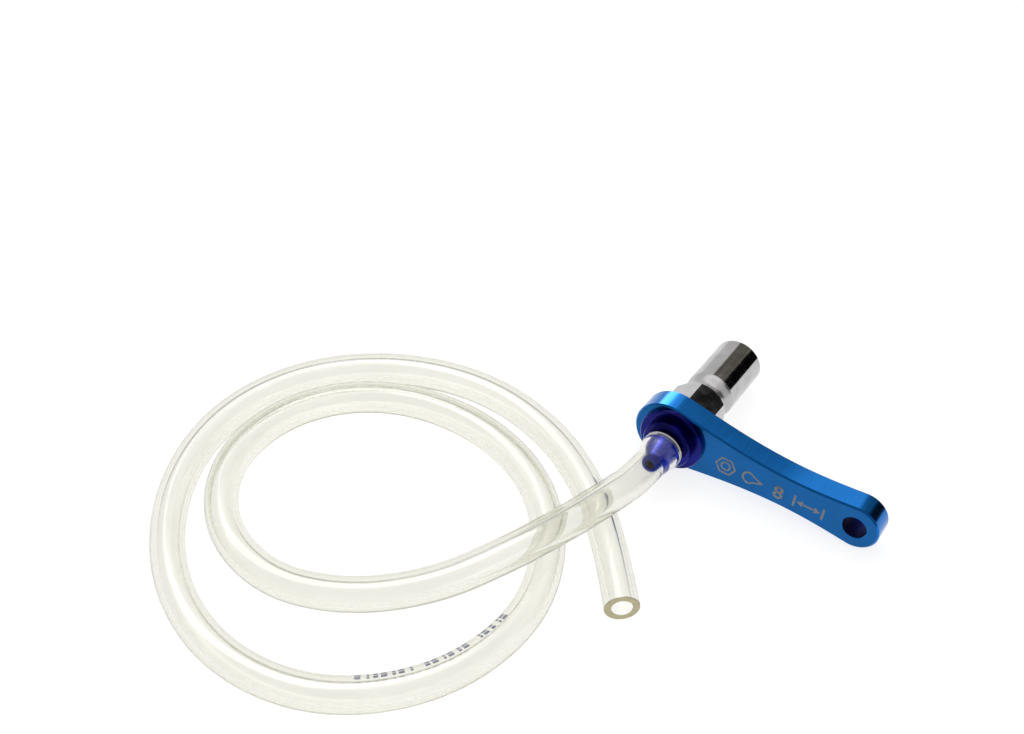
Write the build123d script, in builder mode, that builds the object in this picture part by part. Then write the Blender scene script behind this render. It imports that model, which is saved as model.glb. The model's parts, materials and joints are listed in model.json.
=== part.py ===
from build123d import *
import os
from math import asin, atan, cos, degrees, pi, radians, sin, sqrt, tan

# One-person brake bleeder wrench with a built-in check valve and a clear drain hose.
# Units are millimetres. +Z is up, +Y runs (in plan) along the socket towards its open end,
# +X runs (in plan) along the handle towards its tip, and z = 0 is the bench it lies on.
#
# Every rigid piece is drawn in the tool's own plane, "tool": its origin is on the socket's
# axis in the handle's front face, x runs along the handle, y across it, and z points out of
# the front face, towards the hose. Stations along the axis are values of that z, so the
# socket lies at negative stations and the barb at positive ones.

# ---- handle -------------------------------------------------------------------------
plate_thickness = 6.35
boss_radius = 8.6
boss_offset = 1.7            # the boss's arc is centred this far behind the socket's axis
boss_tangent_angle = 79.5    # where the boss's arc runs into the side, from the handle's axis
tip_radius = 5.85
tip_distance = 47.0
tip_tangent_angle = 97.4
shoulder_point = (15.0, 5.8)
waist_point = (32.0, 4.62)
handle_chamfer = 0.4
hang_hole_radius = 2.8
hang_hole_chamfer = 0.2
shank_hole_radius = 4.3

# ---- socket -------------------------------------------------------------------------
socket_reach = 36.0          # front face of the handle to the socket's open end
socket_radius = 6.25
socket_rim_chamfer = 0.6
collar_across_flats = 12.7
collar_end_station = -15.3
collar_chamfer_radius = 6.75 # the collar's face against the handle, inside its chamfer
collar_rim_radius = 6.0      # the collar's face towards the neck, inside its chamfer
collar_rim_length = 1.6      # that chamfer's length along the axis at the corners
collar_turn = 35.0           # turn of the hexagons about the axis, in degrees
neck_radius = 5.6
neck_length = 1.1
shoulder_length = 3.4        # smooth rise from the neck to the socket's full diameter
shank_across_flats = 11.0
shank_length = 4.4
nut_across_flats = 8.1       # 8 mm bleed nipple with working clearance
nut_depth = 14.0
nut_mouth_radius = 5.1
thread_radius = 4.0
thread_depth_station = -14.2
passage_radius = 1.6

# ---- barb fitting -------------------------------------------------------------------
flange_radius = 8.2
flange_thickness = 1.3
step_radius = 6.2
step_end_station = 3.6
hose_neck_radius = 3.5
barb_station = 5.7
barb_radius = 4.1
cone_end_station = 11.2
cone_end_radius = 2.3
barb_tip_station = 12.5
outlet_radius = 1.25
chamber_radius = 2.5
spring_seat_station = -3.0

# ---- check valve and seals ----------------------------------------------------------
seal_bore_radius = 3.4
seal_length = 4.0
seal_proud = 0.4
seal_hole_radius = 1.2
seal_mouth_radius = 2.6
seal_mouth_depth = 1.6
valve_seat_length = 2.2
valve_seat_hole_radius = 1.1
seat_ring_radius = 1.45
seat_ring_section_radius = 0.4
body_ring_radius = 2.9
body_ring_section_radius = 0.55
ball_radius = 1.985          # 5/32 in ball
spring_radius = 1.45
spring_wire_radius = 0.2
spring_turns = 4.5
ball_lift = 1.4              # free travel before the spring's turns meet

# ---- hose ---------------------------------------------------------------------------
hose_radius = 4.0            # 5/16 in outside
hose_bore_radius = 2.4       # 3/16 in inside
hose_end_station = 4.9       # the hose's end, pushed over the barb

running_gap = 0.05           # radial gap of the threads and between loosely fitted pieces
seal_gap = 0.02              # radial gap of the seals and of the ball on its seat

# ---- how the tool lies on the bench -------------------------------------------------
# Three rims touch z = 0: the boss's back rim, the tip's back rim and the socket's end rim.
rim_station = handle_chamfer - plate_thickness
droop = asin((boss_radius - tip_radius) / (tip_distance + boss_offset))
boss_lift = boss_offset * sin(droop)
socket_rim_station = socket_rim_chamfer - socket_reach
lean = atan(
    (boss_radius - boss_lift - socket_radius) / (rim_station - socket_rim_station)
)
axis_height = (boss_radius - boss_lift) * cos(lean) - rim_station * sin(lean)

# The origin is under the middle of the rigid tool's box.
left_extent = boss_radius + boss_offset * cos(droop)
right_extent = tip_radius + tip_distance * cos(droop)
far_extent = socket_reach * cos(lean) + (socket_radius - socket_rim_chamfer) * sin(lean)
near_extent = barb_tip_station * cos(lean) + cone_end_radius * sin(lean)
axis_x = (left_extent - right_extent) / 2
axis_y = (near_extent - far_extent) / 2

tool = Plane(
    origin=(axis_x, axis_y, axis_height),
    x_dir=(cos(droop), -sin(droop) * sin(lean), -sin(droop) * cos(lean)),
    z_dir=(0, -cos(lean), sin(lean)),
)
tool_axis = Axis(tool.origin, tool.z_dir)
# Turned profiles are drawn in this plane: x is the radius and y the station on the axis.
profile_plane = Plane(origin=tool.origin, x_dir=tool.x_dir, z_dir=-tool.y_dir)


def on_axis(station):
    """The point of the tool's axis at a station, in the row's frame."""
    return tool.origin + tool.z_dir * station


def write(part, name):
    part.label = name
    export_step(part, f"parts/{name}.step")
    print(name, "volume", round(part.volume, 2))


os.makedirs("parts", exist_ok=True)

# ---- handle: flat bar with a round boss, waisted sides and a hang hole ---------------
boss_angle = radians(boss_tangent_angle)
tip_angle = radians(tip_tangent_angle)
boss_tangent_point = (
    boss_radius * cos(boss_angle) - boss_offset,
    boss_radius * sin(boss_angle),
)
tip_tangent_point = (
    tip_radius * cos(tip_angle) + tip_distance,
    tip_radius * sin(tip_angle),
)
pocket_depth = shank_length + running_gap * 2

with BuildPart() as handle:
    with BuildSketch(tool):
        with BuildLine():
            Spline(
                boss_tangent_point,
                shoulder_point,
                waist_point,
                tip_tangent_point,
                tangents=(
                    (sin(boss_angle), -cos(boss_angle)),
                    (sin(tip_angle), -cos(tip_angle)),
                ),
            )
            mirror(about=Plane.XZ)
            ThreePointArc(
                tip_tangent_point,
                (tip_distance + tip_radius, 0),
                (tip_tangent_point[0], -tip_tangent_point[1]),
            )
            ThreePointArc(
                boss_tangent_point,
                (-boss_offset - boss_radius, 0),
                (boss_tangent_point[0], -boss_tangent_point[1]),
            )
        make_face()
    extrude(amount=-plate_thickness)
    plate_faces = handle.faces().sort_by(tool_axis)
    chamfer(plate_faces[0].edges() + plate_faces[-1].edges(), length=handle_chamfer)
    with BuildSketch(tool):
        with Locations((tip_distance, 0)):
            Circle(hang_hole_radius)
    extrude(amount=-plate_thickness, mode=Mode.SUBTRACT)
    hang_hole_rims = handle.edges().filter_by(
        lambda edge: edge.geom_type == GeomType.CIRCLE
        and abs(edge.radius - hang_hole_radius) < running_gap
    )
    chamfer(hang_hole_rims, length=hang_hole_chamfer)
    with BuildSketch(tool):
        Circle(shank_hole_radius)
    extrude(amount=-plate_thickness, mode=Mode.SUBTRACT)
    with BuildSketch(tool.offset(-plate_thickness)):
        RegularPolygon(
            radius=shank_across_flats / 2 + running_gap,
            side_count=6,
            major_radius=False,
            rotation=collar_turn,
        )
    extrude(amount=pocket_depth, mode=Mode.SUBTRACT)
write(handle.part, "handle")

# ---- socket: hexagon shank and collar, neck and round body, hollow all the way -------
collar_length = -plate_thickness - collar_end_station
collar_corner_radius = collar_across_flats / sqrt(3)
neck_end_station = collar_end_station - neck_length
body_station = neck_end_station - shoulder_length
nut_floor_station = nut_depth - socket_reach
seal_floor_station = nut_floor_station + seal_length - seal_proud
nut_corner_radius = nut_across_flats / sqrt(3)
collar_chamfer_drop = (collar_corner_radius - collar_chamfer_radius) * tan(radians(30))

with BuildPart() as socket:
    with BuildSketch(tool.offset(-plate_thickness)):
        RegularPolygon(
            radius=shank_across_flats / 2,
            side_count=6,
            major_radius=False,
            rotation=collar_turn,
        )
    extrude(amount=shank_length)
    with BuildSketch(tool.offset(-plate_thickness)):
        RegularPolygon(
            radius=collar_across_flats / 2,
            side_count=6,
            major_radius=False,
            rotation=collar_turn,
        )
    extrude(amount=-collar_length)
    # Turned chamfers at both ends of the collar cut its corners back to arcs.
    with BuildSketch(profile_plane):
        with BuildLine():
            Polyline(
                (0, shank_length),
                (collar_chamfer_radius, shank_length),
                (collar_chamfer_radius, -plate_thickness),
                (collar_corner_radius, -plate_thickness - collar_chamfer_drop),
                (collar_corner_radius, collar_end_station + collar_rim_length),
                (collar_rim_radius, collar_end_station),
                (0, collar_end_station),
                close=True,
            )
        make_face()
    revolve(axis=tool_axis, mode=Mode.INTERSECT)
    with BuildSketch(profile_plane):
        with BuildLine():
            Polyline(
                (neck_radius, neck_end_station),
                (neck_radius, collar_end_station),
                (0, collar_end_station),
                (0, -socket_reach),
                (socket_radius - socket_rim_chamfer, -socket_reach),
                (socket_radius, socket_rim_station),
                (socket_radius, body_station),
            )
            Spline(
                (neck_radius, neck_end_station),
                (socket_radius, body_station),
                tangents=((0, -1), (0, -1)),
            )
        make_face()
    revolve(axis=tool_axis)
    # Stepped bore: nut mouth, seal bore, passage and tapped bore.
    with BuildSketch(profile_plane):
        with BuildLine():
            Polyline(
                (0, -socket_reach),
                (nut_mouth_radius, -socket_reach),
                (nut_corner_radius - 1, nut_mouth_radius - nut_corner_radius + 1 - socket_reach),
                (0, nut_mouth_radius - nut_corner_radius + 1 - socket_reach),
                close=True,
            )
        make_face()
        with BuildLine():
            Polyline(
                (0, nut_floor_station - running_gap),
                (seal_bore_radius, nut_floor_station - running_gap),
                (seal_bore_radius, seal_floor_station),
                (passage_radius, seal_floor_station),
                (passage_radius, thread_depth_station),
                (thread_radius, thread_depth_station),
                (thread_radius, shank_length - plate_thickness),
                (0, shank_length - plate_thickness),
                close=True,
            )
        make_face()
    revolve(axis=tool_axis, mode=Mode.SUBTRACT)
    with BuildSketch(tool.offset(-socket_reach)):
        RegularPolygon(
            radius=nut_across_flats / 2,
            side_count=6,
            major_radius=False,
            rotation=collar_turn,
        )
    extrude(amount=nut_depth, mode=Mode.SUBTRACT)
write(socket.part, "socket")

# ---- barb fitting: screws into the socket through the handle, and holds the valve ----
fitting_end_station = thread_depth_station + body_ring_section_radius * 2
edge_break = 0.25

with BuildPart() as barb_fitting:
    with BuildSketch(profile_plane):
        with BuildLine():
            Polyline(
                (chamber_radius, fitting_end_station),
                (thread_radius - running_gap - edge_break, fitting_end_station),
                (thread_radius - running_gap, fitting_end_station + edge_break),
                (thread_radius - running_gap, 0),
                (flange_radius, 0),
                (flange_radius, flange_thickness - edge_break),
                (flange_radius - edge_break, flange_thickness),
                (step_radius, flange_thickness),
                (step_radius, step_end_station - edge_break),
                (step_radius - edge_break, step_end_station),
                (hose_neck_radius, step_end_station),
                (hose_neck_radius, barb_station - edge_break),
                (barb_radius - edge_break, barb_station - edge_break),
                (barb_radius, barb_station),
                (cone_end_radius, cone_end_station),
                (cone_end_radius, barb_tip_station - edge_break),
                (cone_end_radius - edge_break, barb_tip_station),
                (outlet_radius + edge_break, barb_tip_station),
                (outlet_radius, barb_tip_station - edge_break),
                (outlet_radius, spring_seat_station),
                (chamber_radius, spring_seat_station),
                close=True,
            )
        make_face()
    revolve(axis=tool_axis)
write(barb_fitting.part, "barb_fitting")

# ---- valve seat: turned insert pressed into the chamber's mouth ----------------------
seat_face_station = fitting_end_station + valve_seat_length
seat_groove_depth = seat_ring_section_radius * 2
seat_groove_radius = seat_ring_radius + seat_ring_section_radius

with BuildPart() as valve_seat:
    with BuildSketch(profile_plane):
        with BuildLine():
            Polyline(
                (valve_seat_hole_radius, fitting_end_station),
                (chamber_radius, fitting_end_station),
                (chamber_radius, seat_face_station),
                (seat_groove_radius, seat_face_station),
                (seat_groove_radius, seat_face_station - seat_groove_depth),
                (valve_seat_hole_radius, seat_face_station - seat_groove_depth),
                close=True,
            )
        make_face()
    revolve(axis=tool_axis)
write(valve_seat.part, "valve_seat")

# ---- rubber rings: the ball's seat and the seal between fitting and socket -----------
seat_ring_station = seat_face_station - seat_ring_section_radius
body_ring_station = fitting_end_station - body_ring_section_radius

with BuildPart() as seat_o_ring:
    with BuildSketch(profile_plane):
        with Locations((seat_ring_radius, seat_ring_station)):
            Circle(seat_ring_section_radius - seal_gap / 2)
    revolve(axis=tool_axis)
write(seat_o_ring.part, "seat_o_ring")

with BuildPart() as body_o_ring:
    with BuildSketch(profile_plane):
        with Locations((body_ring_radius, body_ring_station)):
            Circle(body_ring_section_radius - seal_gap / 2)
    revolve(axis=tool_axis)
write(body_o_ring.part, "body_o_ring")

# ---- nipple seal: rubber bush at the bottom of the socket ----------------------------
seal_mouth_station = nut_floor_station - seal_proud
with BuildPart() as nipple_seal:
    with BuildSketch(profile_plane):
        with BuildLine():
            Polyline(
                (seal_mouth_radius, seal_mouth_station),
                (seal_bore_radius - seal_gap, seal_mouth_station),
                (seal_bore_radius - seal_gap, seal_floor_station),
                (seal_hole_radius, seal_floor_station),
                (seal_hole_radius, seal_mouth_station + seal_mouth_depth),
                close=True,
            )
        make_face()
    revolve(axis=tool_axis)
write(nipple_seal.part, "nipple_seal")

# ---- check ball: rests on the seat ring and lifts towards the hose -------------------
ball_reach = ball_radius + seat_ring_section_radius
ball_station = seat_ring_station + sqrt(ball_reach**2 - seat_ring_radius**2) + seal_gap

with BuildPart(Plane(on_axis(ball_station))) as check_ball:
    Sphere(ball_radius)
write(check_ball.part, "check_ball")

# ---- check spring: helix from the ball to the chamber's shoulder ---------------------
spring_reach = ball_radius + spring_wire_radius
spring_start_station = (
    ball_station + sqrt(spring_reach**2 - spring_radius**2) + running_gap
)
spring_end_station = spring_seat_station - spring_wire_radius - running_gap
spring_height = spring_end_station - spring_start_station

with BuildPart() as check_spring:
    with BuildLine():
        coil = Helix(
            pitch=spring_height / spring_turns,
            height=spring_height,
            radius=spring_radius,
            center=on_axis(spring_start_station),
            direction=tool.z_dir,
        )
    with BuildSketch(Plane(origin=coil @ 0, z_dir=coil % 0)):
        Circle(spring_wire_radius)
    sweep(path=coil, is_frenet=True)
write(check_spring.part, "check_spring")

# ---- hose: clear tube pushed over the barb, lying in one and a half loose loops ------
# Its line leaves the barb along the axis, passes over the hose's own last and second
# turns, comes down to the bench and runs round twice to its cut end.
hose_route = [
    on_axis(hose_end_station),
    on_axis(16.4),
    Vector(-22.8, -39.4, 12.9),
    Vector(-26.2, -50.4, 13.2),
    Vector(-32.7, -65.4, 12.6),
    Vector(-42.7, -79.4, 9.2),
    Vector(-58.2, -90.4, 6),
    Vector(-77.2, -95.4, hose_radius),
    Vector(-96.2, -89.9, hose_radius),
    Vector(-108.7, -74.4, hose_radius),
    Vector(-109.2, -54.9, hose_radius),
    Vector(-98.7, -38.9, hose_radius),
    Vector(-81.2, -30.4, hose_radius),
    Vector(-60.2, -30.4, hose_radius),
    Vector(-41.2, -38.9, hose_radius),
    Vector(-28.2, -54.9, hose_radius),
    Vector(-23.2, -74.9, hose_radius),
    Vector(-30.2, -97.4, hose_radius),
    Vector(-49.2, -113.9, hose_radius),
    Vector(-74.2, -116.9, hose_radius),
    Vector(-97.7, -106.4, hose_radius),
    Vector(-114.7, -85.9, hose_radius),
    Vector(-120.7, -61.4, hose_radius),
    Vector(-112.7, -38.9, hose_radius),
    Vector(-94.2, -23.4, hose_radius),
    Vector(-70.7, -17.4, hose_radius),
    Vector(-47.7, -22.4, hose_radius),
    Vector(-29.7, -34.2, hose_radius),
    Vector(-16.4, -47.9, hose_radius),
    Vector(-7.8, -58.9, hose_radius),
]


def corner_radii(points):
    """The largest arc that fits each corner, leaving a tenth of the shorter run straight."""
    radii = []
    for before, corner, after in zip(points, points[1:], points[2:]):
        run_in = corner - before
        run_out = after - corner
        half_turn = radians(run_in.get_angle(run_out)) / 2
        shorter_run = min(run_in.length, run_out.length)
        radii.append(0.45 * shorter_run / tan(half_turn))
    return radii


bend_radii = corner_radii(hose_route)
print("bend radii", [round(radius, 1) for radius in bend_radii])


def stretched_radius(bore_radius):
    """The hose's outside where its bore is stretched, at the same section of wall."""
    return sqrt(hose_radius**2 - hose_bore_radius**2 + bore_radius**2)


# The hose is back to its own size where the barb's cone comes down to the hose's bore.
gripped_bore_radius = (hose_neck_radius + barb_radius) / 2
cone_slope = (barb_radius - cone_end_radius) / (cone_end_station - barb_station)
relaxed_station = barb_station + (barb_radius - hose_bore_radius) / cone_slope

with BuildPart() as hose:
    with BuildSketch(profile_plane):
        with BuildLine():
            Polyline(
                (gripped_bore_radius, hose_end_station),
                (stretched_radius(gripped_bore_radius), hose_end_station),
                (stretched_radius(barb_radius), barb_station),
                (hose_radius, relaxed_station),
                (hose_bore_radius, relaxed_station),
                (barb_radius, barb_station),
                close=True,
            )
        make_face()
    revolve(axis=tool_axis)
    with BuildLine():
        hose_line = FilletPolyline(
            on_axis(relaxed_station), *hose_route[1:], radius=bend_radii
        )
    with BuildSketch(tool.offset(relaxed_station)):
        Circle(hose_radius)
        Circle(hose_bore_radius, mode=Mode.SUBTRACT)
    sweep(path=hose_line)
write(hose.part, "hose")

tube_section = pi * (hose_radius**2 - hose_bore_radius**2)
hose_length = hose_line.length + relaxed_station - hose_end_station
print("hose length", round(hose_length, 1))
print("tube section x length", round(tube_section * hose_length, 1))
print("axis point", tuple(tool.origin), "lean", degrees(lean), "droop", degrees(droop))
print("axis", tuple(tool.z_dir), "handle", tuple(tool.x_dir))
print("ball lift", ball_lift)
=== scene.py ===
"""Brake bleeder wrench with a check valve and a clear drain hose, on a pale bench."""

import json
import math

import bmesh
import bpy
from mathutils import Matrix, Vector


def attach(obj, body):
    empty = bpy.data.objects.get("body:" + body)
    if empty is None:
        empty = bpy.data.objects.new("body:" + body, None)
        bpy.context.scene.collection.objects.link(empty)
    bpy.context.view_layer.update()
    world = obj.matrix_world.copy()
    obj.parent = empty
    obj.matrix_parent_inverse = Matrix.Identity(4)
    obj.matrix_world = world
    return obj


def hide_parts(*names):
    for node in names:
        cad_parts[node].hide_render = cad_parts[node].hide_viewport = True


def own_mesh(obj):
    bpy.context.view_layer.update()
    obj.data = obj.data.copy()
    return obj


MM = 0.001

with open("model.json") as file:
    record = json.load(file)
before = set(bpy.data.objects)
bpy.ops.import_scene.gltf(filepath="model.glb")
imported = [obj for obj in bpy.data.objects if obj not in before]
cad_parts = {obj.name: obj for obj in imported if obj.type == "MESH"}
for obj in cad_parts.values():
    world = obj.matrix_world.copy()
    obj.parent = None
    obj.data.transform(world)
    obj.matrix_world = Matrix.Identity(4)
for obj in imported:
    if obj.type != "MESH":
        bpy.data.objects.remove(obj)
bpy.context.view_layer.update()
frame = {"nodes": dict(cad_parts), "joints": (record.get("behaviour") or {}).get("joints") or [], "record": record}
record = frame["record"]

# ---- the tool's own plane -----------------------------------------------------------
# The record's mounts and joint give it: stations run along the socket's axis, out of
# the handle's front face towards the hose. ACROSS_X runs along the handle towards its
# hang hole, and ACROSS_Y over it.
SOCKET_REACH = 36.0 * MM
HANG_HOLE_STATION = -3.175 * MM

mounts = {mount["name"]: mount for mount in record["mounts"]}
AXIS = Vector(frame["joints"][0]["axis"]).normalized()
FRONT_CENTRE = Vector(mounts["nut_mouth"]["pos_m"]) + AXIS * SOCKET_REACH


def on_axis(station):
    """The point of the tool's axis at a station, in metres."""
    return FRONT_CENTRE + AXIS * station


hang_hole = Vector(mounts["hang_hole"]["pos_m"]) - on_axis(HANG_HOLE_STATION)
ACROSS_X = hang_hole.normalized()
ACROSS_Y = AXIS.cross(ACROSS_X)


def in_tool(x, y, station):
    """A point given in the tool's plane, in the row frame."""
    return on_axis(station) + ACROSS_X * x + ACROSS_Y * y


# ---- camera -------------------------------------------------------------------------
CAMERA_PLACE = Vector((0.07291, -0.22566, 0.24776))
CAMERA_HEADING = math.radians(33.24)  # from +Y towards -X
CAMERA_PITCH = math.radians(43.11)  # below the horizon
CAMERA_LENS = 48.70
SENSOR_WIDTH = 36.0
CLIP_START = 0.01

camera_data = bpy.data.cameras.new("camera")
camera_data.lens = CAMERA_LENS
camera_data.sensor_width = SENSOR_WIDTH
camera_data.clip_start = CLIP_START
camera = bpy.data.objects.new("camera", camera_data)
camera.location = CAMERA_PLACE
camera.rotation_euler = (math.pi / 2 - CAMERA_PITCH, 0, CAMERA_HEADING)
bpy.context.scene.collection.objects.link(camera)
bpy.context.scene.camera = camera

# ---- the hose's line ----------------------------------------------------------------
HOSE_RADIUS = 4.0 * MM
HOSE_BORE_RADIUS = 2.4 * MM
HOSE_END_STATION = 4.9 * MM
HOSE_STRAIGHT_STATION = 0.0164
BARB_STATION = 5.7 * MM
BARB_RADIUS = 4.1 * MM
BARB_NECK_RADIUS = 3.5 * MM
RELAXED_STATION = 10.89 * MM

# The same route as in the part's source: along the axis, over the hose's own end and
# loop, down to the bench and nearly twice round it.
HOSE_ROUTE = [
    on_axis(HOSE_END_STATION),
    on_axis(HOSE_STRAIGHT_STATION),
    Vector((-0.0228, -0.0394, 0.0129)),
    Vector((-0.0262, -0.0504, 0.0132)),
    Vector((-0.0327, -0.0654, 0.0126)),
    Vector((-0.0427, -0.0794, 0.0092)),
    Vector((-0.0582, -0.0904, 0.006)),
    Vector((-0.0772, -0.0954, HOSE_RADIUS)),
    Vector((-0.0962, -0.0899, HOSE_RADIUS)),
    Vector((-0.1087, -0.0744, HOSE_RADIUS)),
    Vector((-0.1092, -0.0549, HOSE_RADIUS)),
    Vector((-0.0987, -0.0389, HOSE_RADIUS)),
    Vector((-0.0812, -0.0304, HOSE_RADIUS)),
    Vector((-0.0602, -0.0304, HOSE_RADIUS)),
    Vector((-0.0412, -0.0389, HOSE_RADIUS)),
    Vector((-0.0282, -0.0549, HOSE_RADIUS)),
    Vector((-0.0232, -0.0749, HOSE_RADIUS)),
    Vector((-0.0302, -0.0974, HOSE_RADIUS)),
    Vector((-0.0492, -0.1139, HOSE_RADIUS)),
    Vector((-0.0742, -0.1169, HOSE_RADIUS)),
    Vector((-0.0977, -0.1064, HOSE_RADIUS)),
    Vector((-0.1147, -0.0859, HOSE_RADIUS)),
    Vector((-0.1207, -0.0614, HOSE_RADIUS)),
    Vector((-0.1127, -0.0389, HOSE_RADIUS)),
    Vector((-0.0942, -0.0234, HOSE_RADIUS)),
    Vector((-0.0707, -0.0174, HOSE_RADIUS)),
    Vector((-0.0477, -0.0224, HOSE_RADIUS)),
    Vector((-0.0297, -0.0342, HOSE_RADIUS)),
    Vector((-0.0164, -0.0479, HOSE_RADIUS)),
    Vector((-0.0078, -0.0589, HOSE_RADIUS)),
]
LINE_STEPS_PER_POINT = 14
ROUND_STEPS = 120
SHARP_ANGLE = math.radians(30)


def smooth_line(points, steps_per_point):
    """Points along a NURBS spline of order 3 that has these control points."""
    curve = bpy.data.curves.new("line", "CURVE")
    curve.dimensions = "3D"
    curve.resolution_u = steps_per_point
    spline = curve.splines.new("NURBS")
    spline.points.add(len(points) - 1)
    for control, point in zip(spline.points, points):
        control.co = (*point, 1.0)
    spline.order_u = 3
    spline.use_endpoint_u = True
    holder = bpy.data.objects.new("line", curve)
    mesh = bpy.data.meshes.new_from_object(holder)
    line = [vertex.co.copy() for vertex in mesh.vertices]
    bpy.data.objects.remove(holder)
    bpy.data.curves.remove(curve)
    bpy.data.meshes.remove(mesh)
    return line


def stations_along(line):
    """The length of the line up to each of its points."""
    lengths = [0.0]
    for a, b in zip(line, line[1:]):
        lengths.append(lengths[-1] + (b - a).length)
    return lengths


def frames_along(line, first_side):
    """(side, up) at each point, carried along the line without twist."""
    frames = []
    side = first_side
    for i in range(len(line)):
        before = line[max(i - 1, 0)]
        after = line[min(i + 1, len(line) - 1)]
        tangent = (after - before).normalized()
        side = (side - tangent * side.dot(tangent)).normalized()
        frames.append((side, tangent.cross(side)))
    return frames


hose_line = smooth_line(HOSE_ROUTE, LINE_STEPS_PER_POINT)
hose_stations = stations_along(hose_line)
hose_frames = frames_along(hose_line, ACROSS_X)

# ---- materials: helpers -------------------------------------------------------------
# A noise texture's values mostly lie between these two.
NOISE_LOW = 0.3
NOISE_HIGH = 0.7


class Shader:
    """A node material, with short ways to add and join nodes."""

    def __init__(self, name):
        self.material = bpy.data.materials.new(name)
        self.material.use_nodes = True
        self.nodes = self.material.node_tree.nodes
        self.links = self.material.node_tree.links
        self.surface = self.nodes["Principled BSDF"]
        coordinates = self.nodes.new("ShaderNodeTexCoord")
        self.place = coordinates.outputs["Object"]

    def set(self, **values):
        """Sets the surface's own sockets; an underscore in a name stands for a space."""
        for name, value in values.items():
            self.surface.inputs[name.replace("_", " ")].default_value = value

    def math(self, operation, a, b=None):
        """The result of a Math node; each value is a number or another node's result."""
        node = self.nodes.new("ShaderNodeMath")
        node.operation = operation
        for socket, value in zip(node.inputs, (a, b)):
            self.feed(socket, value)
        return node.outputs[0]

    def feed(self, socket, value):
        """Links a node's result to a socket or sets it to a number; None leaves it."""
        if value is None:
            return
        if isinstance(value, bpy.types.NodeSocket):
            self.links.new(value, socket)
        else:
            socket.default_value = value

    def along(self, direction, origin=FRONT_CENTRE):
        """The coordinate of the place along a direction, measured from an origin."""
        offset = self.nodes.new("ShaderNodeVectorMath")
        offset.operation = "SUBTRACT"
        self.links.new(self.place, offset.inputs[0])
        offset.inputs[1].default_value = origin
        dot = self.nodes.new("ShaderNodeVectorMath")
        dot.operation = "DOT_PRODUCT"
        self.links.new(offset.outputs[0], dot.inputs[0])
        dot.inputs[1].default_value = direction
        return dot.outputs["Value"]

    def tool_place(self, stretch):
        """The place in the tool's plane, each coordinate multiplied by its stretch."""
        joined = self.nodes.new("ShaderNodeCombineXYZ")
        for socket, direction, factor in zip(
            joined.inputs, (ACROSS_X, ACROSS_Y, AXIS), stretch
        ):
            self.links.new(self.math("MULTIPLY", self.along(direction), factor), socket)
        return joined.outputs[0]

    def distance_from(self, point):
        """The distance of the place from a point."""
        node = self.nodes.new("ShaderNodeVectorMath")
        node.operation = "DISTANCE"
        self.links.new(self.place, node.inputs[0])
        node.inputs[1].default_value = point
        return node.outputs["Value"]

    def distance_from_axis(self, x):
        """The distance from the line along the tool's axis through x."""
        across = self.math("SUBTRACT", self.along(ACROSS_X), x)
        across = self.math("POWER", across, 2.0)
        up = self.math("POWER", self.along(ACROSS_Y), 2.0)
        return self.math("SQRT", self.math("ADD", across, up))

    def near_axis(self, x, radius):
        """1 within a radius of the line along the tool's axis through x, else 0."""
        return self.math("LESS_THAN", self.distance_from_axis(x), radius)

    def noise(self, scale, detail=3.0, place=None):
        """A noise texture over the object's own place, or over another one."""
        node = self.nodes.new("ShaderNodeTexNoise")
        node.inputs["Scale"].default_value = scale
        node.inputs["Detail"].default_value = detail
        self.links.new(place or self.place, node.inputs["Vector"])
        return node.outputs["Fac"]

    def spread(self, noise, low, high):
        """Stretches a noise to a range."""
        node = self.nodes.new("ShaderNodeMapRange")
        self.links.new(noise, node.inputs["Value"])
        node.inputs["From Min"].default_value = NOISE_LOW
        node.inputs["From Max"].default_value = NOISE_HIGH
        node.inputs["To Min"].default_value = low
        node.inputs["To Max"].default_value = high
        return node.outputs["Result"]

    def tone(self, noise, dark, light):
        """A colour that wanders between two with a noise."""
        return self.mix(self.spread(noise, 0.0, 1.0), dark, light)

    def mix(self, amount, a, b):
        """a where the amount is 0 and b where it is 1, each a colour or a result."""
        node = self.nodes.new("ShaderNodeMix")
        node.data_type = "RGBA"
        self.feed(node.inputs["Factor"], amount)
        self.feed(node.inputs["A"], (*a, 1.0) if isinstance(a, tuple) else a)
        self.feed(node.inputs["B"], (*b, 1.0) if isinstance(b, tuple) else b)
        return node.outputs["Result"]

    def bump(self, height, distance, strength):
        """Small relief from a height."""
        node = self.nodes.new("ShaderNodeBump")
        node.inputs["Distance"].default_value = distance
        node.inputs["Strength"].default_value = strength
        self.links.new(height, node.inputs["Height"])
        self.links.new(node.outputs["Normal"], self.surface.inputs["Normal"])

    def colour(self, value):
        """Gives the surface a colour that varies over it."""
        self.links.new(value, self.surface.inputs["Base Color"])

    def roughness(self, value):
        """Gives the surface a roughness that varies over it."""
        self.links.new(value, self.surface.inputs["Roughness"])


# ---- materials ----------------------------------------------------------------------
# The handle's front and back faces, and its hang hole.
FACE_DEPTH = 0.02 * MM
PLATE_THICKNESS = 6.35 * MM
HANG_HOLE_DISTANCE = 47.0 * MM
HANG_HOLE_RADIUS = 2.9 * MM
# The hang hole's near-black blue is painted shade inside the hole.
HANG_HOLE_PAINTED_SHADE = (0.0005, 0.002, 0.06)
HANG_HOLE_ROUGHNESS = (0.6, 0.6, 0.6)  # a grey, because it goes through a colour mix
ANODISED_COAT = 0.2
# Stations on the barb fitting and on the socket, and the barb fitting's turning rings.
BARB_START = 5.0 * MM
COLLAR_END = -15.3 * MM
BODY_START = -19.8 * MM
TURNING_PITCH = 0.16 * MM
# The hose's cut ends, how strongly each of them shows, and their painted glow.
CUT_DEPTH = 0.06 * MM
CUT_REACH = 1.5 * HOSE_RADIUS
CUT_PAINTED_GLOW = 0.7
CUT_MILKINESS = 0.85
GRIPPED_CUT = 0.4
SAWN_CUT = 1.0
# The vinyl's colour by depth.
VINYL_TINT = (0.55, 0.53, 0.28)
VINYL_DENSITY = 72.0
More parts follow.
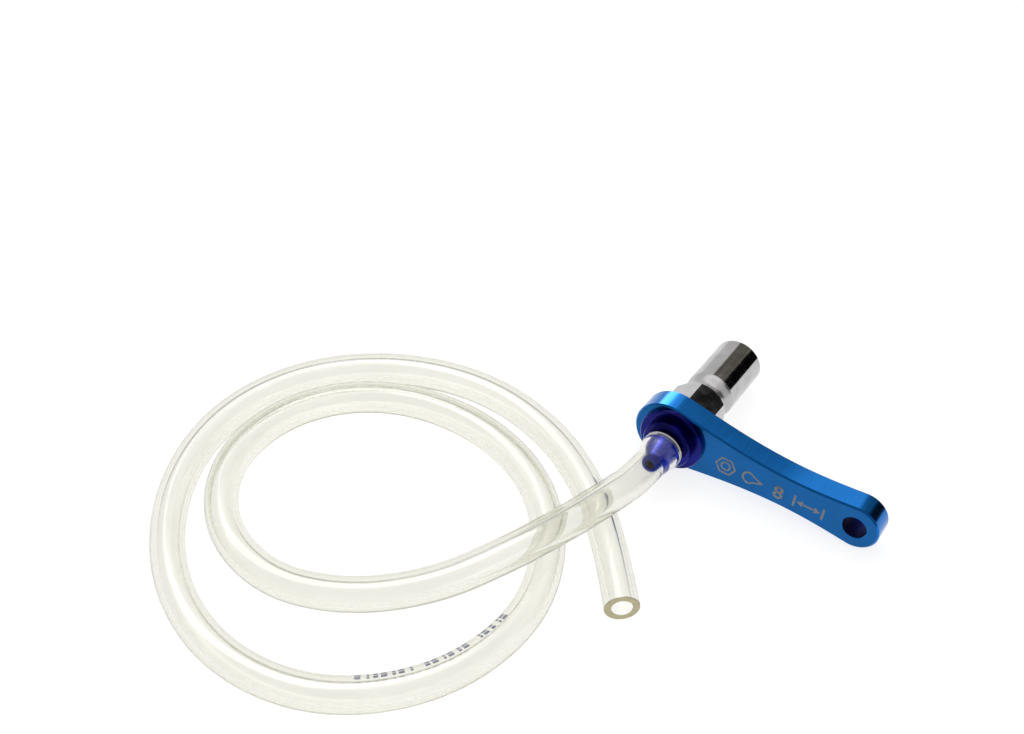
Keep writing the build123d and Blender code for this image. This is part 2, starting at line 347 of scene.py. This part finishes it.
# A noise's scales along the handle, over it and along the tool's axis.
EDGE_GRAIN = (3200, 3200, 160)
FACE_GRAIN = (1500, 6000, 3000)
CHROME_WAVES = (500, 500, 60)


def blue_anodised():
    """Bright blue anodised aluminium: satin faces in a darker blue that is painted shade, brighter edges, and a
    dull hang hole painted near-black as painted shade.
    """
    shader = Shader("blue_anodised_aluminium")
    shader.set(Metallic=1.0, Coat_Roughness=0.12)
    grain = shader.noise(1.0, place=shader.tool_place(EDGE_GRAIN))
    satin = shader.noise(1.0, place=shader.tool_place(FACE_GRAIN))
    clouds = shader.noise(160.0, detail=2.0)
    # The faces' darker blue is painted shade; the edges keep the brighter blue.
    face_painted_shade = shader.tone(clouds, (0.001, 0.088, 0.28), (0.001, 0.1, 0.33))
    edge = shader.tone(grain, (0.001, 0.136, 0.47), (0.002, 0.154, 0.52))
    station = shader.along(AXIS)
    on_front = shader.math("GREATER_THAN", station, -FACE_DEPTH)
    on_back = shader.math("LESS_THAN", station, FACE_DEPTH - PLATE_THICKNESS)
    on_face = shader.math("ADD", on_front, on_back)
    hole = shader.near_axis(HANG_HOLE_DISTANCE, HANG_HOLE_RADIUS)
    tint = shader.mix(on_face, edge, face_painted_shade)
    # Inside the hang hole the blue is painted shade.
    shader.colour(shader.mix(hole, tint, HANG_HOLE_PAINTED_SHADE))
    polish = shader.mix(
        on_face, shader.spread(grain, 0.17, 0.2), shader.spread(satin, 0.2, 0.28)
    )
    shader.roughness(shader.mix(hole, polish, HANG_HOLE_ROUGHNESS))
    coat = shader.math("MULTIPLY", shader.math("SUBTRACT", 1.0, hole), ANODISED_COAT)
    shader.links.new(coat, shader.surface.inputs["Coat Weight"])
    shader.bump(shader.mix(on_face, grain, satin), distance=0.001 * MM, strength=0.03)
    return shader.material


def navy_anodised():
    """Deep blue anodised aluminium with fine turning rings; the flange is painted darker as painted shade and the
    barb brighter as painted light.
    """
    shader = Shader("navy_anodised_aluminium")
    shader.set(Metallic=1.0, Coat_Weight=0.22, Coat_Roughness=0.12)
    turned = shader.math("ADD", shader.distance_from_axis(0.0), shader.along(AXIS))
    turned = shader.math("MULTIPLY", turned, 2 * math.pi / TURNING_PITCH)
    rings = shader.math("SINE", turned)
    clouds = shader.noise(220.0, detail=2.0)
    # One blue in two shades: the flange's darker blue is painted shade, the barb's brighter blue painted light.
    flange_painted_shade = shader.tone(clouds, (0.001, 0.002, 0.1), (0.002, 0.005, 0.2))
    barb = shader.tone(clouds, (0.001, 0.008, 0.24), (0.002, 0.018, 0.44))
    on_barb = shader.math("GREATER_THAN", shader.along(AXIS), BARB_START)
    shader.colour(shader.mix(on_barb, flange_painted_shade, barb))
    shader.roughness(shader.spread(clouds, 0.2, 0.3))
    shader.bump(rings, distance=0.003 * MM, strength=0.4)
    return shader.material


def chrome():
    """Chrome plate: faint waves, a few rubbed patches, duller in the neck."""
    shader = Shader("chrome_plated_steel")
    shader.set(Metallic=1.0)
    rubbed = shader.noise(300.0, detail=4.0)
    waves = shader.noise(1.0, detail=2.0, place=shader.tool_place(CHROME_WAVES))
    shader.colour(shader.tone(rubbed, (0.43, 0.42, 0.43), (0.52, 0.51, 0.51)))
    station = shader.along(AXIS)
    on_neck = shader.math(
        "MULTIPLY",
        shader.math("LESS_THAN", station, COLLAR_END),
        shader.math("GREATER_THAN", station, BODY_START),
    )
    shader.roughness(
        shader.mix(
            on_neck, shader.spread(rubbed, 0.06, 0.12), shader.spread(rubbed, 0.24, 0.32)
        )
    )
    shader.bump(waves, distance=0.01 * MM, strength=0.25)
    return shader.material


def clear_vinyl(cuts):
    """Clear soft vinyl, tinted by its own depth; its cut ends are rough and milky and glow in their olive colour
    as painted light.

    Each cut is its middle, its outward direction and how strongly it shows."""
    shader = Shader("clear_vinyl")
    shader.set(IOR=1.48)
    clouds = shader.noise(60.0, detail=2.0)
    saw = shader.noise(1500.0)
    on_cut = None
    for point, outward, share in cuts:
        here = shader.math(
            "MULTIPLY",
            shader.math("LESS_THAN", shader.distance_from(point), CUT_REACH),
            shader.math("GREATER_THAN", shader.along(outward, origin=point), -CUT_DEPTH),
        )
        here = shader.math("MULTIPLY", here, share)
        on_cut = here if on_cut is None else shader.math("MAXIMUM", on_cut, here)
    skin = shader.tone(clouds, (0.97, 0.97, 0.96), (0.99, 0.99, 0.98))
    cut = shader.tone(saw, (0.25, 0.225, 0.13), (0.32, 0.285, 0.175))
    tint = shader.mix(on_cut, skin, cut)
    shader.colour(tint)
    # The cut ends glow in their own olive colour: painted light.
    painted_glow = shader.math("MULTIPLY", on_cut, CUT_PAINTED_GLOW)
    shader.links.new(tint, shader.surface.inputs["Emission Color"])
    shader.links.new(painted_glow, shader.surface.inputs["Emission Strength"])
    shader.roughness(
        shader.mix(
            on_cut, shader.spread(clouds, 0.07, 0.12), shader.spread(saw, 0.45, 0.6)
        )
    )
    shader.bump(clouds, distance=0.01 * MM, strength=0.04)
    inside = shader.nodes.new("ShaderNodeVolumeAbsorption")
    inside.inputs["Color"].default_value = (*VINYL_TINT, 1.0)
    inside.inputs["Density"].default_value = VINYL_DENSITY
    output = shader.nodes["Material Output"]
    shader.links.new(inside.outputs["Volume"], output.inputs["Volume"])
    milkiness = shader.math("MULTIPLY", on_cut, CUT_MILKINESS)
    clearness = shader.math("SUBTRACT", 1.0, milkiness)
    shader.links.new(clearness, shader.surface.inputs["Transmission Weight"])
    return shader.material


def rubber():
    """Black nitrile rubber with a dusty bloom."""
    shader = Shader("black_rubber")
    bloom = shader.noise(900.0, detail=4.0)
    shader.colour(shader.tone(bloom, (0.012, 0.012, 0.013), (0.03, 0.03, 0.03)))
    shader.roughness(shader.spread(bloom, 0.5, 0.7))
    shader.bump(bloom, distance=0.01 * MM, strength=0.4)
    return shader.material


def bare_metal(name, dark, light, low_roughness):
    """Bare metal with a faint cloudiness in its colour, its polish and its surface."""
    shader = Shader(name)
    shader.set(Metallic=1.0)
    clouds = shader.noise(700.0)
    shader.colour(shader.tone(clouds, dark, light))
    shader.roughness(shader.spread(clouds, low_roughness, low_roughness + 0.12))
    shader.bump(clouds, distance=0.004 * MM, strength=0.3)
    return shader.material


def laser_mark():
    """Laser-marked anodising: matt, greyish, finely speckled."""
    shader = Shader("laser_mark")
    shader.set(Metallic=0.35)
    speckle = shader.noise(5000.0, detail=2.0)
    shader.colour(shader.tone(speckle, (0.15, 0.17, 0.2), (0.27, 0.28, 0.3)))
    shader.roughness(shader.spread(speckle, 0.5, 0.65))
    return shader.material


def print_ink():
    """Thin dark printing ink, patchy."""
    shader = Shader("print_ink")
    patchy = shader.noise(2600.0)
    shader.colour(shader.tone(patchy, (0.11, 0.12, 0.2), (0.38, 0.39, 0.47)))
    shader.roughness(shader.spread(patchy, 0.4, 0.55))
    return shader.material


RUBBER = rubber()
STEEL = bare_metal("bright_steel", (0.5, 0.5, 0.51), (0.62, 0.62, 0.62), 0.12)
NODE_MATERIALS = {
    "handle": blue_anodised(),
    "socket": chrome(),
    "barb_fitting": navy_anodised(),
    "nipple_seal": RUBBER,
    "body_o_ring": RUBBER,
    "seat_o_ring": RUBBER,
    "valve_seat": bare_metal("turned_brass", (0.62, 0.42, 0.16), (0.72, 0.52, 0.24), 0.2),
    "check_ball": STEEL,
}
for node_name, material in NODE_MATERIALS.items():
    node = frame["nodes"][node_name]
    node.data.materials.clear()
    node.data.materials.append(material)

# ---- the hose -----------------------------------------------------------------------
EDGE_ROUNDING = 0.12 * MM
BORE_GAP = 0.02 * MM


def finished_mesh(build, name):
    """A mesh from what was built, with its normals outwards."""
    bmesh.ops.recalc_face_normals(build, faces=build.faces)
    mesh = bpy.data.meshes.new(name)
    build.to_mesh(mesh)
    build.free()
    return mesh


def add_piece(name, mesh, materials, body):
    """An object for this mesh that rides on a body and takes these materials."""
    piece = bpy.data.objects.new(name, mesh)
    bpy.context.scene.collection.objects.link(piece)
    for material in materials:
        mesh.materials.append(material)
    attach(piece, body)
    return piece


def smoothstep(value):
    """0 up to 0, 1 from 1 on, smooth between."""
    value = min(max(value, 0.0), 1.0)
    return value * value * (3 - 2 * value)


def bore_radius_at(station):
    """The hose's bore: gripped by the barb at its start, then its own size."""
    if station < BARB_STATION:
        share = (station - HOSE_END_STATION) / (BARB_STATION - HOSE_END_STATION)
        rise = smoothstep(share)
        start = (BARB_NECK_RADIUS + BARB_RADIUS) / 2
        return start + (BARB_RADIUS - start) * rise + BORE_GAP
    fall = (RELAXED_STATION - station) / (RELAXED_STATION - BARB_STATION)
    return HOSE_BORE_RADIUS + (BARB_RADIUS + BORE_GAP - HOSE_BORE_RADIUS) * max(fall, 0.0)


def outer_radius_at(station):
    """The hose's outside: the wall keeps its section where the bore is stretched."""
    bore = bore_radius_at(station)
    return math.sqrt(HOSE_RADIUS**2 - HOSE_BORE_RADIUS**2 + bore**2)


def ring_of(build, centre, side, up, radius):
    """Vertices of a circle about a centre."""
    turn = 2 * math.pi / ROUND_STEPS
    return [
        build.verts.new(
            centre + side * radius * math.cos(turn * k) + up * radius * math.sin(turn * k)
        )
        for k in range(ROUND_STEPS)
    ]


def join_rings(build, first, second):
    """Smooth faces between two rings."""
    for k in range(ROUND_STEPS):
        n = (k + 1) % ROUND_STEPS
        face_painted_shade = build.faces.new((first[k], first[n], second[n], second[k]))
        face_painted_shade.smooth = True


def hose_mesh():
    """A hollow tube along the line: outer skin, sawn end, bore and gripped end."""
    build = bmesh.new()
    last = len(hose_line) - 1
    inset = {
        0: (hose_line[1] - hose_line[0]).normalized() * EDGE_ROUNDING,
        last: (hose_line[last - 1] - hose_line[last]).normalized() * EDGE_ROUNDING,
    }
    outer, inner = [], []
    for i, (side, up) in enumerate(hose_frames):
        station = HOSE_END_STATION + hose_stations[i]
        centre = hose_line[i] + inset.get(i, Vector())
        outer.append((centre, side, up, outer_radius_at(station)))
        inner.append((centre, side, up, bore_radius_at(station)))
    first_cut = (hose_line[0], *hose_frames[0])
    last_cut = (hose_line[last], *hose_frames[last])
    last_station = HOSE_END_STATION + hose_stations[last]
    profile = [
        *outer,
        (*last_cut, outer_radius_at(last_station) - EDGE_ROUNDING),
        (*last_cut, bore_radius_at(last_station) + EDGE_ROUNDING),
        *reversed(inner),
        (*first_cut, bore_radius_at(HOSE_END_STATION) + EDGE_ROUNDING),
        (*first_cut, outer_radius_at(HOSE_END_STATION) - EDGE_ROUNDING),
    ]
    rings = [ring_of(build, *entry) for entry in profile]
    for ring, following in zip(rings, rings[1:] + rings[:1]):
        join_rings(build, ring, following)
    mesh = finished_mesh(build, "drain_hose")
    mesh.set_sharp_from_angle(angle=SHARP_ANGLE)
    return mesh


cuts = (
    (hose_line[0], (hose_line[0] - hose_line[1]).normalized(), GRIPPED_CUT),
    (hose_line[-1], (hose_line[-1] - hose_line[-2]).normalized(), SAWN_CUT),
)
drain_hose = add_piece(
    "drain_hose", hose_mesh(), [clear_vinyl(cuts)], "wrench"
)
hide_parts("hose")
drain_hose.visible_shadow = False

# ---- print on the hose: two rows of plain dashes ------------------------------------
PRINT_START = 0.285
PRINT_PITCH = 1.9 * MM
PRINT_ROWS = (math.radians(22), math.radians(38))
PRINT_HEIGHT = 0.75 * MM
PRINT_RISE = 0.03 * MM
PRINT_STEP = 0.25 * MM
PRINT_COLUMNS = 4
# Each entry is a dash's share of the pitch; a nought is a gap.
PRINT_DASHES = (
    *(0.7, 0.3, 0.55, 0.7, 0.3, 0.0, 0.7, 0.4, 0.7, 0.3),
    *(0.7, 0.55, 0.0, 0.3, 0.7, 0.4, 0.7, 0.55, 0.3, 0.7),
)


def point_on_line(station):
    """The point and the direction of the hose's line at a length along it."""
    for i in range(1, len(hose_stations)):
        if hose_stations[i] >= station:
            break
    a, b = hose_line[i - 1], hose_line[i]
    share = (station - hose_stations[i - 1]) / (hose_stations[i] - hose_stations[i - 1])
    return a.lerp(b, share), (b - a).normalized()


def add_dash_on_hose(build, start, end, tilt):
    """A thin closed patch on the hose, between two lengths, tilted from its top."""
    steps = max(2, round((end - start) / PRINT_STEP))
    half_angle = PRINT_HEIGHT / 2 / HOSE_RADIUS
    rows = []
    for i in range(steps + 1):
        centre, direction = point_on_line(start + (end - start) * i / steps)
        side = direction.cross(Vector((0, 0, 1))).normalized()
        up = side.cross(direction)
        row = []
        for j in range(PRINT_COLUMNS + 1):
            angle = tilt + half_angle * (2 * j / PRINT_COLUMNS - 1)
            outward = up * math.cos(angle) + side * math.sin(angle)
            row.append(centre + outward * HOSE_RADIUS)
        rows.append([(point, (point - centre).normalized()) for point in row])
    top = [[build.verts.new(p + n * PRINT_RISE) for p, n in row] for row in rows]
    low = [[build.verts.new(p - n * PRINT_RISE) for p, n in row] for row in rows]
    for i in range(steps):
        for j in range(PRINT_COLUMNS):
            build.faces.new((top[i][j], top[i][j + 1], top[i + 1][j + 1], top[i + 1][j]))
            build.faces.new((low[i][j], low[i + 1][j], low[i + 1][j + 1], low[i][j + 1]))
        for j, flip in ((0, False), (PRINT_COLUMNS, True)):
            ring = [top[i][j], top[i + 1][j], low[i + 1][j], low[i][j]]
            build.faces.new(reversed(ring) if flip else ring)
    for i, flip in ((0, True), (steps, False)):
        for j in range(PRINT_COLUMNS):
            ring = [top[i][j], top[i][j + 1], low[i][j + 1], low[i][j]]
            build.faces.new(ring if flip else reversed(ring))


def hose_print_mesh():
    """Every dash of both rows."""
    build = bmesh.new()
    for tilt in PRINT_ROWS:
        for i, share in enumerate(PRINT_DASHES):
            if share:
                start = PRINT_START + i * PRINT_PITCH
                add_dash_on_hose(build, start, start + share * PRINT_PITCH, tilt)
    return finished_mesh(build, "hose_print")


hose_print = add_piece(
    "hose_print", hose_print_mesh(), [print_ink()], "wrench"
)

# ---- laser marks on the handle's front face -----------------------------------------
# Places along the handle are measured from the tool's axis.
MARK_RISE = 0.02 * MM
MARK_LINE = 0.55 * MM
MARK_MIDDLE_Y = -0.7 * MM
NUT_X = 14.4 * MM
NUT_RADIUS = 2.75 * MM
NUT_HOLE_RADIUS = 1.35 * MM
NUT_HOLE_LINE = 0.8 * MARK_LINE
NUT_HOLE_SIDES = 30
DROP_X = 20.6 * MM
DROP_RADIUS = 1.9 * MM
DROP_TIP = 3.6 * MM
DROP_POINTS = 48
DROP_SHARPNESS = 6
DROP_PINCH = 0.35
NUMERAL_X = 28.1 * MM
NUMERAL_HEIGHT = 3.9 * MM
NUMERAL_WEIGHT = 0.02  # of the font's size
NUMERAL_CURVE_STEPS = 8
NUMERAL_MERGE = 1e-5  # of the font's size
MEASURE_START = 32.2 * MM
MEASURE_END = 39.4 * MM
MEASURE_HALF_HEIGHT = 1.7 * MM
ARROW_LENGTH = 1.6 * MM
ARROW_HALF_WIDTH = 0.9 * MM
ARROW_SHAFT_INSET = 2.3 * MM


def add_prism(build, outline, hole=()):
    """A thin closed plate on the front face, with an optional hole of as many points."""

    def level(points, station):
        return [build.verts.new(in_tool(x, y, station)) for x, y in points]

    count = len(outline)
    top, low = level(outline, MARK_RISE), level(outline, -MARK_RISE)
    if not hole:
        build.faces.new(top)
        build.faces.new(reversed(low))
    else:
        hole_top, hole_low = level(hole, MARK_RISE), level(hole, -MARK_RISE)
    for i in range(count):
        n = (i + 1) % count
        build.faces.new((top[i], low[i], low[n], top[n]))
        if hole:
            build.faces.new((hole_top[i], hole_top[n], hole_low[n], hole_low[i]))
            build.faces.new((top[i], top[n], hole_top[n], hole_top[i]))
            build.faces.new((low[i], hole_low[i], hole_low[n], low[n]))


def polygon(centre_x, radius, sides):
    """The corners of a regular polygon on the handle's middle line."""
    step = 2 * math.pi / sides
    return [
        (
            centre_x + radius * math.cos(step * k),
            MARK_MIDDLE_Y + radius * math.sin(step * k),
        )
        for k in range(sides)
    ]


def hexagon(centre_x, radius):
    """A hexagon with each side divided, so that its hole's corners can match."""
    corners = polygon(centre_x, radius, 6)
    points = []
    for a, b in zip(corners, corners[1:] + corners[:1]):
        for share in (0.0, 0.5):
            points.append((a[0] + (b[0] - a[0]) * share, a[1] + (b[1] - a[1]) * share))
    return points


def drop(radius, tip):
    """A drop lying on its side: a circle drawn out to a tip towards the hang hole."""
    points = []
    for k in range(DROP_POINTS):
        angle = 2 * math.pi * k / DROP_POINTS
        towards_tip = max(math.cos(angle), 0.0)
        reach = radius * (1 + (tip / radius - 1) * towards_tip**DROP_SHARPNESS)
        height = radius * math.sin(angle) * (1 - DROP_PINCH * towards_tip)
        points.append((DROP_X + reach * math.cos(angle), MARK_MIDDLE_Y + height))
    return points


def rectangle(low_x, high_x, half_height):
    """A rectangle about the handle's middle line."""
    low_y, high_y = MARK_MIDDLE_Y - half_height, MARK_MIDDLE_Y + half_height
    return [(low_x, low_y), (high_x, low_y), (high_x, high_y), (low_x, high_y)]


def add_numeral(build, text):
    """A numeral from Blender's own font, as a thin plate on the front face."""
    curve = bpy.data.curves.new("numeral", "FONT")
    curve.body = text
    curve.size = 1.0
    curve.offset = NUMERAL_WEIGHT
    curve.resolution_u = NUMERAL_CURVE_STEPS
    holder = bpy.data.objects.new("numeral", curve)
    flat = bpy.data.meshes.new_from_object(holder)
    xs = [vertex.co.x for vertex in flat.vertices]
    ys = [vertex.co.y for vertex in flat.vertices]
    scale = NUMERAL_HEIGHT / (max(ys) - min(ys))
    middle = Vector(((max(xs) + min(xs)) / 2, (max(ys) + min(ys)) / 2))
    part = bmesh.new()
    part.from_mesh(flat)
    bmesh.ops.remove_doubles(part, verts=part.verts, dist=NUMERAL_MERGE)
    for vertex in part.verts:
        x = NUMERAL_X + (vertex.co.x - middle.x) * scale
        y = MARK_MIDDLE_Y + (vertex.co.y - middle.y) * scale
        vertex.co = in_tool(x, y, -MARK_RISE)
    sheet = bmesh.ops.extrude_face_region(part, geom=part.faces[:])
    moved = [item for item in sheet["geom"] if isinstance(item, bmesh.types.BMVert)]
    bmesh.ops.translate(part, verts=moved, vec=AXIS * 2 * MARK_RISE)
    solid = bpy.data.meshes.new("numeral")
    part.to_mesh(solid)
    part.free()
    build.from_mesh(solid)
    bpy.data.objects.remove(holder)
    for used in (flat, solid):
        bpy.data.meshes.remove(used)
    bpy.data.curves.remove(curve)


def laser_marks_mesh():
    """A nut, a drop, the size 8, and a dimension arrow between two bars."""
    build = bmesh.new()
    add_prism(build, hexagon(NUT_X, NUT_RADIUS), hexagon(NUT_X, NUT_RADIUS - MARK_LINE))
    add_prism(
        build,
        polygon(NUT_X, NUT_HOLE_RADIUS, NUT_HOLE_SIDES),
        polygon(NUT_X, NUT_HOLE_RADIUS - NUT_HOLE_LINE, NUT_HOLE_SIDES),
    )
    add_prism(
        build,
        drop(DROP_RADIUS, DROP_TIP),
        drop(DROP_RADIUS - MARK_LINE, DROP_TIP - 2 * MARK_LINE),
    )
    add_numeral(build, "8")
    half_line = MARK_LINE / 2
    for x in (MEASURE_START, MEASURE_END):
        add_prism(build, rectangle(x - half_line, x + half_line, MEASURE_HALF_HEIGHT))
    for x, towards in ((MEASURE_START, 1), (MEASURE_END, -1)):
        tip = x + towards * MARK_LINE
        base = tip + towards * ARROW_LENGTH
        head = [
            (tip, MARK_MIDDLE_Y),
            (base, MARK_MIDDLE_Y - ARROW_HALF_WIDTH),
            (base, MARK_MIDDLE_Y + ARROW_HALF_WIDTH),
        ]
        add_prism(build, head if towards > 0 else list(reversed(head)))
    shaft_start = MEASURE_START + ARROW_SHAFT_INSET
    shaft_end = MEASURE_END - ARROW_SHAFT_INSET
    add_prism(build, rectangle(shaft_start, shaft_end, half_line))
    return finished_mesh(build, "laser_marks")


add_piece(
    "laser_marks", laser_marks_mesh(), [laser_mark()], "wrench"
)

# ---- check spring; the real one shortens as the ball lifts, this one keeps one length ---
SPRING_START_STATION = -7.66 * MM
SPRING_END_STATION = -3.02 * MM
SPRING_RADIUS = 1.45 * MM
SPRING_WIRE_RADIUS = 0.2 * MM
SPRING_TURNS = 5.5
SPRING_CLOSED_TURNS = 0.9
SPRING_CLOSED_RISE = 2.1 * SPRING_WIRE_RADIUS  # a little over the wire's thickness
SPRING_STEPS_PER_TURN = 40
SPRING_WIRE_STEPS = 12


def spring_station(turn):
    """The wire's place along the axis: nearly flat end turns, even ones between."""
    low = SPRING_START_STATION + SPRING_WIRE_RADIUS
    high = SPRING_END_STATION - SPRING_WIRE_RADIUS
    rise = SPRING_CLOSED_RISE
    if turn < SPRING_CLOSED_TURNS:
        return low + rise * turn / SPRING_CLOSED_TURNS
    if turn > SPRING_TURNS - SPRING_CLOSED_TURNS:
        return high - rise * (SPRING_TURNS - turn) / SPRING_CLOSED_TURNS
    share = (turn - SPRING_CLOSED_TURNS) / (SPRING_TURNS - 2 * SPRING_CLOSED_TURNS)
    return low + rise + (high - low - 2 * rise) * share


def spring_mesh():
    """A round wire wound about the tool's axis, closed at its two ends."""
    build = bmesh.new()
    count = round(SPRING_TURNS * SPRING_STEPS_PER_TURN)
    rings = []
    for i in range(count + 1):
        turn = SPRING_TURNS * i / count
        angle = 2 * math.pi * turn
        outward = ACROSS_X * math.cos(angle) + ACROSS_Y * math.sin(angle)
        centre = on_axis(spring_station(turn)) + outward * SPRING_RADIUS
        ring = []
        for k in range(SPRING_WIRE_STEPS):
            around = 2 * math.pi * k / SPRING_WIRE_STEPS
            offset = outward * math.cos(around) + AXIS * math.sin(around)
            ring.append(build.verts.new(centre + offset * SPRING_WIRE_RADIUS))
        rings.append(ring)
    for first, second in zip(rings, rings[1:]):
        for k in range(SPRING_WIRE_STEPS):
            n = (k + 1) % SPRING_WIRE_STEPS
            build.faces.new((first[k], first[n], second[n], second[k])).smooth = True
    build.faces.new(reversed(rings[0]))
    build.faces.new(rings[-1])
    return finished_mesh(build, "valve_spring")


valve_spring = add_piece("valve_spring", spring_mesh(), [STEEL], "wrench")
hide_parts("check_spring")
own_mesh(valve_spring)

# ---- floor, lights and world --------------------------------------------------------
FLOOR_SIZE = 6.0
FLOOR_DROP = 0.05 * MM
FLOOR_GLOW = 0.82
LIGHT_DISTANCE = 1.4
WALL = (0.8, 0.8, 0.8)
CEILING = (1.45, 1.45, 1.45)
FRONT_WALL = (0.35, 0.35, 0.35)
BROWN = (0.15, 0.14, 0.115)
BLACK = (0.003, 0.003, 0.003)
THROUGH = (0.55, 0.55, 0.53)  # what the clear hose sees through itself
# Patches of the world: headings in degrees, heights, and the softness of their edges.
CEILING_PATCH = ((-75, 35), (0.68, 0.93), 0.07)
BROWN_PATCH = ((-20, 26), (0.48, 0.66), 0.05)
BLACK_PATCH = ((24.5, 62), (-0.04, 0.57), 0.03)
FRONT_WALL_FADE = (-0.1, -0.45)


def add_floor():
    """A plain pale floor that glows a little."""
    mesh = bpy.data.meshes.new("floor")
    half = FLOOR_SIZE / 2
    corners = [(-half, -half, 0), (half, -half, 0), (half, half, 0), (-half, half, 0)]
    mesh.from_pydata(corners, [], [(0, 1, 2, 3)])
    floor = bpy.data.objects.new("floor", mesh)
    floor.location.z = -FLOOR_DROP
    bpy.context.scene.collection.objects.link(floor)
    shader = Shader("floor")
    shader.set(Roughness=0.9, Specular_IOR_Level=0.1)
    shader.set(Emission_Color=(1, 1, 1, 1), Emission_Strength=FLOOR_GLOW)
    paper = shader.noise(30.0)
    shader.colour(shader.tone(paper, (0.29, 0.29, 0.29), (0.31, 0.31, 0.31)))
    mesh.materials.append(shader.material)


def add_softbox(name, heading, elevation, size, level, only=None, spare=None):
    """A square area light at a heading from +Y towards +X, with level as its radiance.

    only is the one object that it lights, spare the one that it leaves out."""
    h, e = math.radians(heading), math.radians(elevation)
    towards = Vector((math.sin(h) * math.cos(e), math.cos(h) * math.cos(e), math.sin(e)))
    data = bpy.data.lights.new(name, "AREA")
    data.energy = level * math.pi * size * size
    data.size = size
    light = bpy.data.objects.new(name, data)
    light.location = towards * LIGHT_DISTANCE
    light.rotation_euler = towards.to_track_quat("Z", "Y").to_euler()
    bpy.context.scene.collection.objects.link(light)
    if only or spare:
        linked = bpy.data.collections.new(name + "_links")
        linked.objects.link(only or spare)
        light.light_linking.receiver_collection = linked
    if spare:
        linked.collection_objects[0].light_linking.link_state = "EXCLUDE"
    if only:
        light.visible_transmission = False


def add_world():
    """A white tent with a bright ceiling, and brown and black gaps behind the tool."""
    world = bpy.data.worlds.new("world")
    bpy.context.scene.world = world
    world.use_nodes = True
    nodes, links = world.node_tree.nodes, world.node_tree.links
    background = nodes["Background"]
    background.inputs["Strength"].default_value = 1.0
    coordinates = nodes.new("ShaderNodeTexCoord")
    split = nodes.new("ShaderNodeSeparateXYZ")
    links.new(coordinates.outputs["Generated"], split.inputs[0])
    arctangent = nodes.new("ShaderNodeMath")
    arctangent.operation = "ARCTAN2"
    links.new(split.outputs["X"], arctangent.inputs[0])
    links.new(split.outputs["Y"], arctangent.inputs[1])
    heading, height = arctangent.outputs[0], split.outputs["Z"]

    def step(value, start, end):
        """0 at one value, 1 at the other, smooth between."""
        node = nodes.new("ShaderNodeMapRange")
        node.interpolation_type = "SMOOTHSTEP"
        links.new(value, node.inputs["Value"])
        node.inputs["From Min"].default_value = start
        node.inputs["From Max"].default_value = end
        return node.outputs["Result"]

    def product(a, b):
        """Two results multiplied."""
        node = nodes.new("ShaderNodeMath")
        node.operation = "MULTIPLY"
        links.new(a, node.inputs[0])
        links.new(b, node.inputs[1])
        return node.outputs[0]

    def patch(headings, heights, soft):
        """1 inside a patch given by its headings in degrees and its heights."""
        low, high = (math.radians(angle) for angle in headings)
        across = product(
            step(heading, low - soft, low + soft), step(heading, high + soft, high - soft)
        )
        up = product(
            step(height, heights[0] - soft, heights[0] + soft),
            step(height, heights[1] + soft, heights[1] - soft),
        )
        return product(across, up)

    def blend(amount, low, high):
        """low where the amount is 0 and high where it is 1, each a colour or a result."""
        node = nodes.new("ShaderNodeMix")
        node.data_type = "RGBA"
        links.new(amount, node.inputs["Factor"])
        for socket, value in ((node.inputs["A"], low), (node.inputs["B"], high)):
            if isinstance(value, tuple):
                socket.default_value = (*value, 1.0)
            else:
                links.new(value, socket)
        return node.outputs["Result"]

    tent = blend(patch(*CEILING_PATCH), WALL, CEILING)
    tent = blend(step(split.outputs["Y"], *FRONT_WALL_FADE), tent, FRONT_WALL)
    gaps = blend(patch(*BROWN_PATCH), tent, BROWN)
    gaps = blend(patch(*BLACK_PATCH), gaps, BLACK)
    through = nodes.new("ShaderNodeLightPath").outputs["Is Transmission Ray"]
    links.new(blend(through, gaps, THROUGH), background.inputs["Color"])


add_floor()
add_world()
handle, socket = frame["nodes"]["handle"], frame["nodes"]["socket"]
add_softbox("key", -60, 68, size=0.6, level=2.0, spare=socket)
add_softbox("boss_light", -38, 22, size=0.46, level=4.5, only=handle)
add_softbox("tip_light", -20, 37, size=0.46, level=0.9, only=handle)
add_softbox("hose_light", -80, 62, size=0.9, level=3.2, only=drain_hose)
bpy.context.scene.view_settings.view_transform = "Standard"
bpy.context.scene.view_settings.look = "None"
